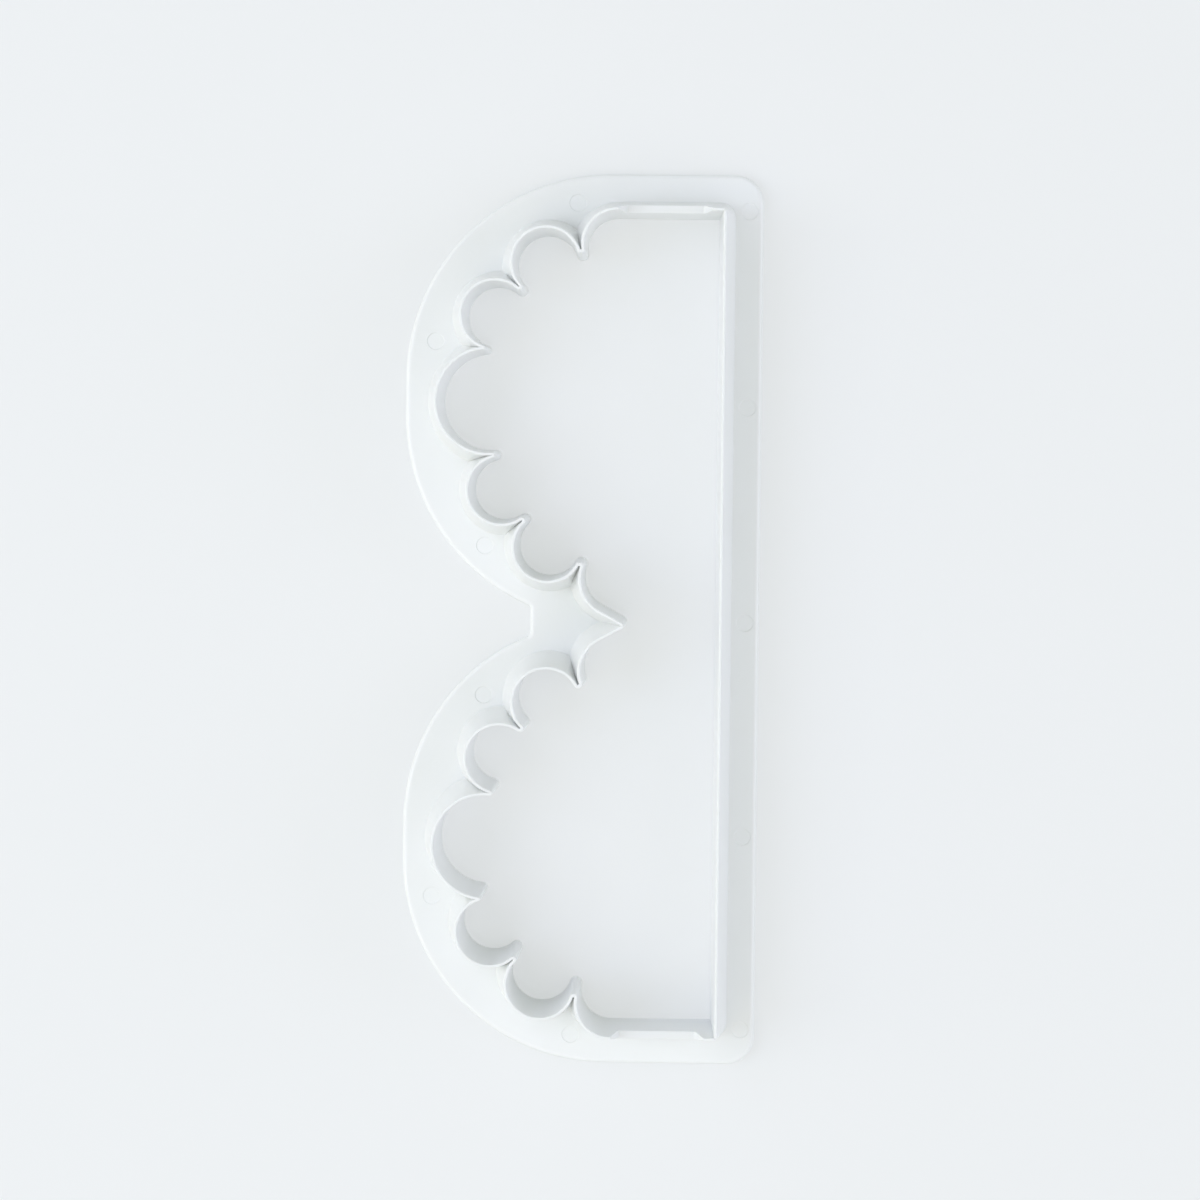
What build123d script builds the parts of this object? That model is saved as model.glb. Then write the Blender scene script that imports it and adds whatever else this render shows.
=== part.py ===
from build123d import *
from dataclasses import dataclass
import math
import os

# A scalloped border cutter: one thin white plastic moulding that lies flange down, with its
# cutting edge up. The cutting line is the middle of the blade's thin top edge, seen from above.
# +X points to the long straight side, +Y along the cutter, +Z up. The flange lies on Z = 0.

# Driving sizes, in millimetres. Names that end in ANGLE, ANGLES or HEADINGS are in degrees.

# Blade, the thin wall round the opening
BLADE_HEIGHT = 13.4  # table to cutting edge
EDGE_THICKNESS = 0.4
ROOT_OUTSIDE = 1.8  # blade foot on the flange, beyond the cutting line
ROOT_INSIDE = 0.55  # how far the opening has drawn in at the table
BLADE_CORNER = 0.4  # radius of the cutting line at its two square corners

# Flange, the flat rim that the hand presses on
FLANGE_THICKNESS = 1.9
FLANGE_MARGIN = 5.95  # flange beyond the cutting line on the straight sides
SCALLOP_MARGIN = 5.15  # flange beyond the big scallops
FLANGE_CORNER = 4.2
FLANGE_ROUND = 0.5  # rounding of the flange's upper rim
SIDE_FLAT = 5.6  # straight stretch of the rim beside each big scallop
NOTCH_DEPTH = 18.85  # notch between the two humps, from the rim beside the big scallops
NOTCH_FLAT = 4.4  # straight bottom of that notch
NOTCH_ROUND = 0.6  # rounding of the notch's two corners

# Scallops of one hump, counted from the middle point to the end of the cutter
INNER_RADIUS = 5.35
SMALL_RADIUS = 5.05
BIG_RADIUS = 7.7
SCALLOP_GAP = 0.6  # space between neighbouring circles, closed by a rounded cusp
GAP_SHARES = (1.15, 1.0, 0.6, -0.2, 0.9, 1.05)
STEP_HEADINGS = (155.6, 129.3, 99.1, 85.9, 46.2, 14.6)  # from each scallop's centre to the next
CUSP_ANGLES = (5.0, 5.0, 6.0, 9.6, 3.0, 5.0)  # where each arc leaves the line of centres

# Middle point, where the two humps meet
POINT_REACH = 14.3  # tip of the point from the long side's cutting line
POINT_RADIUS = 0.25
POINT_HALF_ANGLE = 28.5
INNER_SETBACK = 0.95  # innermost scallop's centre behind the tip

# Lowered middle of each end wall
LOW_DROP = 4.6  # below the cutting edge
LOW_RAMP = 1.1  # ramp on the scallop side
POST_WIDTH = 1.65  # full height beside the long side's cutting line
POST_RAMP = 1.2

# Round ejector marks in the flange's upper face
MARK_DIAMETER = 2.5
MARK_DEPTH = 0.1
MARK_INSET = 3.8  # from the curved rim
MARK_SHARES = (0.53, 1.01)  # along the long side, of half the cutting length
OUTER_MARK_ANGLES = (101.0, 168.0)  # about the rim arc towards the end
INNER_MARK_ANGLES = (226.0,)  # about the rim arc towards the middle

OVERRUN = 1.0  # how far every cut runs past the faces that it opens
PARTING_SHARE = 3  # reach of the planes that part the scallops, in scallop radii

SCALLOP_RADII = (
    INNER_RADIUS,
    SMALL_RADIUS,
    SMALL_RADIUS,
    BIG_RADIUS,
    SMALL_RADIUS,
    SMALL_RADIUS,
    SMALL_RADIUS,
)
BIG_INDEX = SCALLOP_RADII.index(BIG_RADIUS)


def ray(angle, length):
    """A step of the given length, at an angle in degrees from +X."""
    turn = math.radians(angle)
    return Vector(length * math.cos(turn), length * math.sin(turn))


def angle_of(step):
    """The angle of a step from +X, in degrees."""
    return math.degrees(math.atan2(step.Y, step.X))


@dataclass(frozen=True)
class Scallop:
    """One round lobe of the cutting line."""

    centre: Vector
    radius: float


@dataclass(frozen=True)
class Cusp:
    """The rounded tip between two scallops: its centre lies outside the opening."""

    centre: Vector
    radius: float
    outward: float  # angle of the way out to where the feet of the two walls meet


def lay_scallops(long_x):
    """The scallops of the hump on +Y, from the middle point to the end."""
    tangent = ray(90 - POINT_HALF_ANGLE, 1)
    drop = INNER_SETBACK - POINT_RADIUS
    height = (INNER_RADIUS + POINT_RADIUS + tangent.X * drop) / tangent.Y
    centre = Vector(long_x - POINT_REACH - INNER_SETBACK, height)
    scallops = [Scallop(centre, SCALLOP_RADII[0])]
    for radius, heading, gap_share in zip(SCALLOP_RADII[1:], STEP_HEADINGS, GAP_SHARES):
        last = scallops[-1]
        pitch = last.radius + radius + gap_share * SCALLOP_GAP
        scallops.append(Scallop(last.centre + ray(heading, pitch), radius))
    return scallops


def feet_meeting(first, second, heading):
    """Where the feet of the walls round two neighbouring scallops meet, outside the opening."""
    pitch = (second.centre - first.centre).length
    first_foot = first.radius + ROOT_OUTSIDE
    second_foot = second.radius + ROOT_OUTSIDE
    along = (pitch**2 + first_foot**2 - second_foot**2) / (2 * pitch)
    across = math.sqrt(first_foot**2 - along**2)
    return first.centre + ray(heading, along) + ray(heading + 90, across)


def lay_cusps(scallops):
    """The tip between each scallop and the next: a circle that touches both."""
    cusps = []
    for first, second, heading, angle in zip(scallops, scallops[1:], STEP_HEADINGS, CUSP_ANGLES):
        pitch = (second.centre - first.centre).length
        growth = second.radius - first.radius
        along = pitch * math.cos(math.radians(angle))
        reach = (pitch**2 - growth**2) / (2 * (growth + along))
        centre = first.centre + ray(heading + angle, reach)
        outward = angle_of(feet_meeting(first, second, heading) - centre)
        cusps.append(Cusp(centre, reach - first.radius, outward))
    return cusps


# The long side's cutting line lies so that the flange is centred on X = 0.
BIG_REACH = -lay_scallops(0)[BIG_INDEX].centre.X + BIG_RADIUS
FLANGE_WIDTH = FLANGE_MARGIN + BIG_REACH + SCALLOP_MARGIN
LONG_X = FLANGE_WIDTH / 2 - FLANGE_MARGIN
RIM_X = -FLANGE_WIDTH / 2

SCALLOPS = lay_scallops(LONG_X)
CUSPS = lay_cusps(SCALLOPS)
INNER = SCALLOPS[0]
END = SCALLOPS[-1]
END_Y = END.centre.Y + END.radius
FLANGE_Y = END_Y + FLANGE_MARGIN
POINT = Vector(LONG_X - POINT_REACH - POINT_RADIUS, 0)
POINT_ANGLE = 90 - POINT_HALF_ANGLE  # from the straight flank of the point into the opening

# The rim runs round each hump in two arcs of one radius, with the straight stretch between them.
NOTCH_X = RIM_X + NOTCH_DEPTH
ARC_SPAN = FLANGE_Y - SIDE_FLAT - NOTCH_FLAT / 2
RIM_RADIUS = ARC_SPAN + NOTCH_DEPTH - math.sqrt(2 * ARC_SPAN * NOTCH_DEPTH)
RIM_OUTER = Vector(RIM_X + RIM_RADIUS, FLANGE_Y - RIM_RADIUS)
RIM_INNER = RIM_OUTER - Vector(0, SIDE_FLAT)

FAR = FLANGE_Y + OVERRUN  # past everything


def solid_between(lower, upper, low_z, high_z):
    """A straight-sided solid from the outline at low_z to the one at high_z."""
    bottom = Pos(0, 0, low_z) * Wire(lower)
    top = Pos(0, 0, high_z) * Wire(upper)
    return Solid.make_loft([bottom, top], True)


def prism(points, low_z, high_z):
    """An upright prism over a polygon."""
    face = make_face(Polyline(*points, close=True))
    return Pos(0, 0, low_z) * extrude(face, high_z - low_z, dir=(0, 0, 1))


def both_halves(half):
    """A piece that crosses the middle, from its half on +Y."""
    return (half + mirror(half, Plane.XZ)).clean()


def inset_at(z):
    """How far the opening lies inside the cutting line at a height."""
    edge = EDGE_THICKNESS / 2
    return edge + (ROOT_INSIDE - edge) * (BLADE_HEIGHT - z) / BLADE_HEIGHT


def opening_outline(inset):
    """The opening on +Y, at an inset from the cutting line, closed along Y = 0."""
    tip = POINT + ray(0, POINT_RADIUS + inset)
    flank = POINT + ray(POINT_ANGLE, POINT_RADIUS + inset)
    edges = [CenterArc(POINT, POINT_RADIUS + inset, 0, POINT_ANGLE)]
    start = POINT_ANGLE + 180
    edges.append(Line(flank, INNER.centre + ray(start, INNER.radius - inset)))
    for index, scallop in enumerate(SCALLOPS[:-1]):
        cusp = CUSPS[index]
        following = SCALLOPS[index + 1]
        finish = STEP_HEADINGS[index] + CUSP_ANGLES[index]
        edges.append(CenterArc(scallop.centre, scallop.radius - inset, start, finish - start))
        turn_in = finish - 180
        turn_out = angle_of(following.centre - cusp.centre)
        edges.append(CenterArc(cusp.centre, cusp.radius + inset, turn_in, turn_out - turn_in))
        start = turn_out + 180
    edges.append(CenterArc(END.centre, END.radius - inset, start, 90 - start))
    corner = Vector(LONG_X - inset, END_Y - inset)
    foot = Vector(corner.X, 0)
    edges.append(Line(Vector(END.centre.X, corner.Y), corner))
    edges.append(Line(corner, foot))
    edges.append(Line(foot, tip))
    return edges


def make_opening():
    """The space inside the blade and the flange, run past both of their faces."""
    low_z = -OVERRUN
    high_z = BLADE_HEIGHT + OVERRUN
    outlines = [opening_outline(inset_at(z)) for z in (low_z, high_z)]
    return both_halves(solid_between(*outlines, low_z, high_z))


def straight_outline(offset):
    """The square end of the cutter on +Y, grown by an offset from the cutting line."""
    left = END.centre.X
    top = END_Y + offset
    right = LONG_X + offset
    pivot = Vector(LONG_X - BLADE_CORNER, END_Y - BLADE_CORNER)
    radius = BLADE_CORNER + offset
    return [
        Line(Vector(left, 0), Vector(left, top)),
        Line(Vector(left, top), Vector(pivot.X, top)),
        CenterArc(pivot, radius, 90, -90),
        Line(Vector(right, pivot.Y), Vector(right, 0)),
        Line(Vector(right, 0), Vector(left, 0)),
    ]


def point_outline(offset):
    """Half of the middle point on +Y, grown by an offset from the cutting line."""
    flank = INNER.centre + ray(POINT_ANGLE + 180, INNER.radius + offset)
    fall = flank.Y / math.tan(math.radians(POINT_HALF_ANGLE))
    crease = Vector(flank.X + fall, 0)
    inside = Vector(POINT.X + INNER.radius, 0)
    return [
        Line(crease, flank),
        Line(flank, INNER.centre),
        Line(INNER.centre, inside),
        Line(inside, crease),
    ]


def blade_blank(outline):
    """The blade's outer shape over an outline, from the flange to the cutting edge."""
    lower = outline(ROOT_OUTSIDE)
    upper = outline(EDGE_THICKNESS / 2)
    return solid_between(lower, upper, FLANGE_THICKNESS, BLADE_HEIGHT)


# Plan regions that share the moulding out between its named parts on +Y
END_RUN = LONG_X - END.centre.X
MITRE_FOOT = Vector(END.centre.X, END_Y - END_RUN)
MITRE_HEAD = Vector(LONG_X + FAR - END_Y, FAR)
CLEAR_X = LONG_X - POINT_REACH / 2  # between the point and the long side
CLEAR_FOOT = Vector(CLEAR_X, END_Y - LONG_X + CLEAR_X)


def end_region(low_z, high_z):
    """The end wall's share, from its scallop to the mitre at the corner."""
    return prism([MITRE_FOOT, (END.centre.X, FAR), MITRE_HEAD], low_z, high_z)


def long_region(low_z, high_z):
    """The long side's share, from the middle to the mitre at the corner."""
    points = [(CLEAR_X, 0), CLEAR_FOOT, MITRE_HEAD, (FAR, FAR), (FAR, 0)]
    return prism(points, low_z, high_z)


def hump_region(low_z, high_z):
    """The scalloped side's share."""
    points = [(-FAR, 0), (-FAR, FAR), (END.centre.X, FAR), MITRE_FOOT, CLEAR_FOOT, (CLEAR_X, 0)]
    return prism(points, low_z, high_z)


def parting(scallop, cusp, angle):
    """Plan points of the plane that ends a scallop's wall, from the inside out.

    The plane runs through the middle of a cusp, or along a radius where there is none.
    """
    reach = PARTING_SHARE * scallop.radius
    if cusp is None:
        return [scallop.centre + ray(angle, reach)]
    inner = cusp.centre - ray(cusp.outward, scallop.radius / 2)
    return [inner, cusp.centre + ray(cusp.outward, reach)]


def make_scallop(index, opening):
    """The curved wall round one scallop, with its halves of the cusps beside it."""
    scallop = SCALLOPS[index]
    before = CUSPS[index - 1] if index else None
    after = None if scallop is END else CUSPS[index]
    near = parting(scallop, before, POINT_ANGLE + 180)
    away = parting(scallop, after, 90)
    turns = [angle_of(line[-1] - scallop.centre) % 360 for line in (near, away)]
    outside = scallop.centre + ray(sum(turns) / 2, 2 * PARTING_SHARE * scallop.radius)

    z_range = (FLANGE_THICKNESS, BLADE_HEIGHT)
    foot = scallop.radius + ROOT_OUTSIDE
    edge = scallop.radius + EDGE_THICKNESS / 2
    rise = BLADE_HEIGHT - FLANGE_THICKNESS
    cone = Cone(foot, edge, rise, align=(Align.CENTER, Align.CENTER, Align.MIN))
    cone = Pos(scallop.centre.X, scallop.centre.Y, FLANGE_THICKNESS) * cone
    wall = cone & prism([scallop.centre, *near, outside, *reversed(away)], *z_range)
    for cusp, line in ((before, near), (after, away)):
        if cusp:
            wall += prism([scallop.centre, cusp.centre, line[0]], *z_range)
    return wall - opening


def low_cut():
    """What is missing from the top of the end wall on +Y."""
    low_z = BLADE_HEIGHT - LOW_DROP
    start = END.centre.X
    finish = LONG_X - POST_WIDTH
    lift = OVERRUN / LOW_DROP
    points = [
        (start - lift * LOW_RAMP, BLADE_HEIGHT + OVERRUN),
        (start + LOW_RAMP, low_z),
        (finish - POST_RAMP, low_z),
        (finish + lift * POST_RAMP, BLADE_HEIGHT + OVERRUN),
    ]
    profile = make_face(Plane.XZ * Polyline(*points, close=True))
    return extrude(profile, FAR, dir=(0, 1, 0))


def flange_outline():
    """The flange's rim on +Y, closed along Y = 0."""
    right = FLANGE_WIDTH / 2
    notch_y = NOTCH_FLAT / 2
    pivot = Vector(right - FLANGE_CORNER, FLANGE_Y - FLANGE_CORNER)
    side_top = Vector(RIM_X, RIM_OUTER.Y)
    side_foot = Vector(RIM_X, RIM_INNER.Y)
    notch = Vector(NOTCH_X, notch_y)
    sweep = angle_of(notch - RIM_INNER) % 360 - 180
    return [
        Line(Vector(right, 0), Vector(right, pivot.Y)),
        CenterArc(pivot, FLANGE_CORNER, 0, 90),
        Line(Vector(pivot.X, FLANGE_Y), Vector(RIM_OUTER.X, FLANGE_Y)),
        CenterArc(RIM_OUTER, RIM_RADIUS, 90, 90),
        Line(side_top, side_foot),
        CenterArc(RIM_INNER, RIM_RADIUS, 180, sweep),
        Line(notch, Vector(NOTCH_X, 0)),
        Line(Vector(NOTCH_X, 0), Vector(right, 0)),
    ]


def mark_places():
    """Where the round marks lie on +Y and on the middle of the long side."""
    strip_x = LONG_X + (ROOT_OUTSIDE + FLANGE_MARGIN) / 2
    reach = RIM_RADIUS - MARK_INSET
    places = [Vector(strip_x, share * END_Y) for share in (0, *MARK_SHARES)]
    places += [RIM_OUTER + ray(angle, reach) for angle in OUTER_MARK_ANGLES]
    places += [RIM_INNER + ray(angle, reach) for angle in INNER_MARK_ANGLES]
    return places


def make_flange(opening):
    """The whole flange: rounded upper rim, the opening and the shallow round marks."""
    half = make_face(flange_outline())
    notch = half.vertices().sort_by_distance((NOTCH_X, NOTCH_FLAT / 2))[0]
    half = fillet(notch, NOTCH_ROUND)
    plate = both_halves(extrude(half, FLANGE_THICKNESS, dir=(0, 0, 1)))
    upper_rim = plate.edges().group_by(Axis.Z)[-1]
    plate = fillet(upper_rim, FLANGE_ROUND)
    depth = MARK_DEPTH + OVERRUN
    pin = Cylinder(MARK_DIAMETER / 2, depth, align=(Align.CENTER, Align.CENTER, Align.MIN))
    for place in mark_places():
        for side in (1, -1):
            plate -= Pos(place.X, side * place.Y, FLANGE_THICKNESS - MARK_DEPTH) * pin
    return plate - opening


def save(name, shape):
    """Write one node."""
    shape.label = name
    export_step(shape, f"parts/{name}.step")


def save_pair(name, shape):
    """Write a node of the far end, on +Y, and its mirror image at the near end."""
    save(f"far_{name}", shape)
    save(f"near_{name}", mirror(shape, Plane.XZ))


os.makedirs("parts", exist_ok=True)

opening = make_opening()

for index in range(len(SCALLOPS)):
    save_pair(f"scallop_{index + 1}", make_scallop(index, opening))

blade_z = (FLANGE_THICKNESS - OVERRUN, BLADE_HEIGHT + OVERRUN)
square_end = blade_blank(straight_outline) - opening
save_pair("end_blade", (square_end & end_region(*blade_z)) - low_cut())
save("long_blade", both_halves(square_end & long_region(*blade_z)))
save("middle_point", both_halves(blade_blank(point_outline) - opening))

flange_z = (-OVERRUN, FLANGE_THICKNESS + OVERRUN)
flange = make_flange(opening)
save_pair("hump_flange", flange & hump_region(*flange_z))
save_pair("end_flange", flange & end_region(*flange_z))
save("long_flange", both_halves(flange & long_region(*flange_z)))
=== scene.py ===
"""The fine shape and the finish of a one-piece scalloped border cutter, in metres.

The cutter is one thin white moulding: a blade round an open middle, on a flat flange. Each piece
here is the share of that moulding that a node of the frame names, swept from the cross-section of
the wall or of the rim.
"""

import logging
import math
from dataclasses import dataclass, field
from enum import Enum
from functools import cached_property
from typing import Optional, Sequence, Union

import bmesh
import bpy
from bmesh.types import BMEdge, BMFace, BMVert, BMesh
from mathutils import Matrix, Vector


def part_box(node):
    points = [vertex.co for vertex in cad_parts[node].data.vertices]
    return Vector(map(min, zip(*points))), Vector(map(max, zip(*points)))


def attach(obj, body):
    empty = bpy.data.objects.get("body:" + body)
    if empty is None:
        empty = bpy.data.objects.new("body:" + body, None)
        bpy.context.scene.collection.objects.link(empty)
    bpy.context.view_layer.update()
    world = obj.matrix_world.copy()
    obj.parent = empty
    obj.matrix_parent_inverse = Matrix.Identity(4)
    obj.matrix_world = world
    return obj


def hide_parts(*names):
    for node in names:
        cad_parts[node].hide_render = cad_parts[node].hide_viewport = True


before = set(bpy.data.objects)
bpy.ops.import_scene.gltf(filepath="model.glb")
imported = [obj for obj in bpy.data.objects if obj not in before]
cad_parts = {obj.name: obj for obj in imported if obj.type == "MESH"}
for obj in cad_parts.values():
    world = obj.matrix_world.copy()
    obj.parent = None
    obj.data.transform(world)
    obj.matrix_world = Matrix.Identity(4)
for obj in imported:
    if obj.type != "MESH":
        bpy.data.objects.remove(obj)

LOG = logging.getLogger("cutter")

MM = 0.001
TOUCH = 0.0005 * MM  # points closer than this are one point
SHARP_ANGLE = math.radians(32.0)  # faces that meet at more than this keep a hard edge
LEVEL = 0.9999  # least share of Z in the normal of a level face
UP = Vector((0.0, 0.0, 1.0))
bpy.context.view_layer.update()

Point2 = tuple[float, float]
Element = Union[BMVert, BMEdge, BMFace]


def ray(angle: float, length: float = 1.0) -> Vector:
    """A level step of the given length, at an angle in degrees from +X."""
    turn = math.radians(angle)
    return Vector((length * math.cos(turn), length * math.sin(turn), 0.0))


def angle_of(step: Vector) -> float:
    """The angle of a level step from +X, in degrees."""
    return math.degrees(math.atan2(step.y, step.x))


def half_turn(angle: float) -> float:
    """The same angle, between -180 and 180 degrees."""
    return (angle + 180.0) % 360.0 - 180.0


def smooth_step(share: float) -> float:
    """A share from 0 to 1, eased at both of its ends."""
    share = min(max(share, 0.0), 1.0)
    return share * share * (3.0 - 2.0 * share)


def soften(
    points: Sequence[Point2], radii: Sequence[float], steps: int, hold: float
) -> list[Point2]:
    """Rounds the corners of an open line.

    Args:
        points: The line's corners, from one end to the other.
        radii: The radius at each inner corner.
        steps: How many straight stretches each rounding has.
        hold: Length of the straight stretch that is kept beside each rounding.

    Returns:
        The points of the rounded line.
    """
    out = [points[0]]
    for before, corner, after, radius in zip(points, points[1:], points[2:], radii):
        apex = Vector(corner)
        back = (Vector(before) - apex).normalized()
        ahead = (Vector(after) - apex).normalized()
        opening = back.angle(ahead)
        reach = radius / math.tan(opening / 2)
        pivot = apex + (back + ahead).normalized() * radius / math.sin(opening / 2)
        start = apex + back * reach - pivot
        turn = math.pi - opening
        if back.x * ahead.y - back.y * ahead.x > 0:
            turn = -turn
        out.append(tuple(apex + back * (reach + hold)))
        for index in range(steps + 1):
            spun = Matrix.Rotation(turn * index / steps, 2) @ start
            out.append(tuple(pivot + spun))
        out.append(tuple(apex + ahead * (reach + hold)))
    out.append(points[-1])
    return out


@dataclass(frozen=True)
class Scallop:
    """One round lobe of the cutting line."""

    centre: Vector
    radius: float


@dataclass(frozen=True)
class Cusp:
    """The rounded tip between two scallops. Its centre lies outside the opening.

    Attributes:
        centre: Centre of the tip's circle.
        radius: Radius of that circle on the cutting line.
        outward: Angle of the way out of the opening, along the crease between the two walls.
    """

    centre: Vector
    radius: float
    outward: float


@dataclass(frozen=True)
class Section:
    """The blade's cross-section. Offsets count outwards from the cutting line.

    Attributes:
        flange_top: Height of the flange's upper face.
        height: Height of the cutting edge.
        edge_thickness: Width of the cutting edge's top.
        edge_round: Rounding of the cutting edge.
        root_outside: Offset of the outer foot, at the flange's upper face.
        root_inside: How far the opening lies inside the cutting line at the table.
        root_fillet: Fillet at the outer foot.
        under_round: Rounding of the flange's lower edges.
        hold: Straight stretch that is kept beside each rounding.
        steps: Straight stretches in each rounding.
    """

    flange_top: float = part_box("long_flange")[1].z
    height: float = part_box("long_blade")[1].z
    edge_thickness: float = 0.4 * MM
    edge_round: float = 0.13 * MM
    root_outside: float = 1.8 * MM
    root_inside: float = 0.55 * MM
    root_fillet: float = 0.1 * MM
    under_round: float = 0.12 * MM
    hold: float = 0.05 * MM
    steps: int = 5

    def inset(self, z: float) -> float:
        """How far the opening lies inside the cutting line at a height."""
        edge = self.edge_thickness / 2
        return edge + (self.root_inside - edge) * (self.height - z) / self.height

    def outer_slope(self) -> float:
        """How far the outer face comes out for each metre down."""
        return (self.root_outside - self.edge_thickness / 2) / (self.height - self.flange_top)

    def inner_slope(self) -> float:
        """How far the inner face comes in for each metre down."""
        return (self.root_inside - self.edge_thickness / 2) / self.height

    def wall(self) -> list[Point2]:
        """The wall over the flange, from its inner foot over the edge to its outer toe."""
        edge = self.edge_thickness / 2
        corners = [
            (-self.inset(self.flange_top), self.flange_top),
            (-edge, self.height),
            (edge, self.height),
            (self.root_outside, self.flange_top),
            (self.root_outside + 2 * self.root_fillet, self.flange_top),
        ]
        radii = [self.edge_round, self.edge_round, self.root_fillet]
        line = soften(corners, radii, self.steps, self.hold)
        return line[:-2]  # without the stretch that would lie flat on the flange

    def inner_count(self) -> int:
        """How many points of the wall lie inside the cutting line."""
        return sum(1 for offset, _ in self.wall() if offset < 0)

    def opening(self) -> list[Point2]:
        """The flange's face round the opening, from the underside to its top."""
        corners = [
            (2 * self.under_round, 0.0),
            (-self.inset(0.0), 0.0),
            (-self.inset(self.flange_top), self.flange_top),
        ]
        return soften(corners, [self.under_round], self.steps, self.hold)[1:]


@dataclass(frozen=True)
class CuttingLine:
    """The plan of the cutting line on +Y. It repeats mirrored on -Y.

    Attributes:
        inner_radius: Radius of the scallop beside the middle point.
        small_radius: Radius of the small scallops.
        big_radius: Radius of the big one.
        scallop_gap: The usual gap between the circles of two neighbours.
        gap_shares: The gap at each cusp, as a share of the usual one.
        step_headings: Angle from each scallop's centre to the next.
        cusp_angles: Angle at each centre between the next one and the cusp's centre.
        point_reach: How far the sharp point lies from the long side.
        point_radius: Radius of its tip.
        point_half_angle: Half of the angle between its flanks.
        inner_setback: How far the first scallop's centre lies beyond the tip.
        corner_radius: Radius of the cutting line at the square corners.
        section: The wall's cross-section.
    """

    inner_radius: float = 5.35 * MM
    small_radius: float = 5.05 * MM
    big_radius: float = 7.7 * MM
    scallop_gap: float = 0.6 * MM
    gap_shares: tuple[float, ...] = (1.15, 1.0, 0.6, -0.2, 0.9, 1.05)
    step_headings: tuple[float, ...] = (155.6, 129.3, 99.1, 85.9, 46.2, 14.6)
    cusp_angles: tuple[float, ...] = (5.0, 5.0, 6.0, 9.6, 3.0, 5.0)
    point_reach: float = 14.3 * MM
    point_radius: float = 0.25 * MM
    point_half_angle: float = 28.5
    inner_setback: float = 0.95 * MM
    corner_radius: float = 0.4 * MM
    section: Section = field(default_factory=Section)

    @cached_property
    def long_x(self) -> float:
        """Where the long straight side's cutting line lies."""
        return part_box("long_blade")[1].x - self.section.root_outside

    @cached_property
    def point(self) -> Cusp:
        """The sharp point in the middle, as a tip whose way out is -X."""
        centre = Vector((self.long_x - self.point_reach - self.point_radius, 0.0, 0.0))
        return Cusp(centre, self.point_radius, 180.0)

    @property
    def point_angle(self) -> float:
        """The angle from the point's straight flank into the opening."""
        return 90.0 - self.point_half_angle

    @cached_property
    def scallops(self) -> list[Scallop]:
        """The scallops of one hump, from the middle point to the end."""
        radii = [self.inner_radius, self.small_radius, self.small_radius, self.big_radius]
        radii += [self.small_radius] * 3
        tangent = ray(self.point_angle)
        drop = self.inner_setback - self.point_radius
        height = (self.inner_radius + self.point_radius + tangent.x * drop) / tangent.y
        start = Vector((self.long_x - self.point_reach - self.inner_setback, height, 0.0))
        chain = [Scallop(start, radii[0])]
        for radius, heading, gap in zip(radii[1:], self.step_headings, self.gap_shares):
            last = chain[-1]
            pitch = last.radius + radius + gap * self.scallop_gap
            chain.append(Scallop(last.centre + ray(heading, pitch), radius))
        return chain

    @cached_property
    def cusps(self) -> list[Cusp]:
        """The tip between each scallop and the next: a circle that touches both."""
        chain = self.scallops
        tips = []
        pairs = zip(chain, chain[1:], self.step_headings, self.cusp_angles)
        for first, second, heading, angle in pairs:
            pitch = (second.centre - first.centre).length
            growth = second.radius - first.radius
            along = pitch * math.cos(math.radians(angle))
            reach = (pitch**2 - growth**2) / (2 * (growth + along))
            centre = first.centre + ray(heading + angle, reach)
            outward = angle_of(self.feet_meeting(first, second, heading) - centre)
            tips.append(Cusp(centre, reach - first.radius, outward))
        return tips

    def feet_meeting(self, first: Scallop, second: Scallop, heading: float) -> Vector:
        """Where the feet of the walls round two neighbouring scallops meet.

        Args:
            first: The scallop nearer to the middle point.
            second: The next scallop.
            heading: The angle from the first centre to the second.

        Returns:
            The meeting point outside the opening.
        """
        pitch = (second.centre - first.centre).length
        first_foot = first.radius + self.section.root_outside
        second_foot = second.radius + self.section.root_outside
        along = (pitch**2 + first_foot**2 - second_foot**2) / (2 * pitch)
        across = math.sqrt(first_foot**2 - along**2)
        return first.centre + ray(heading, along) + ray(heading + 90.0, across)

    @cached_property
    def end_y(self) -> float:
        """Where the end wall's cutting line lies."""
        last = self.scallops[-1]
        return last.centre.y + last.radius


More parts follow.
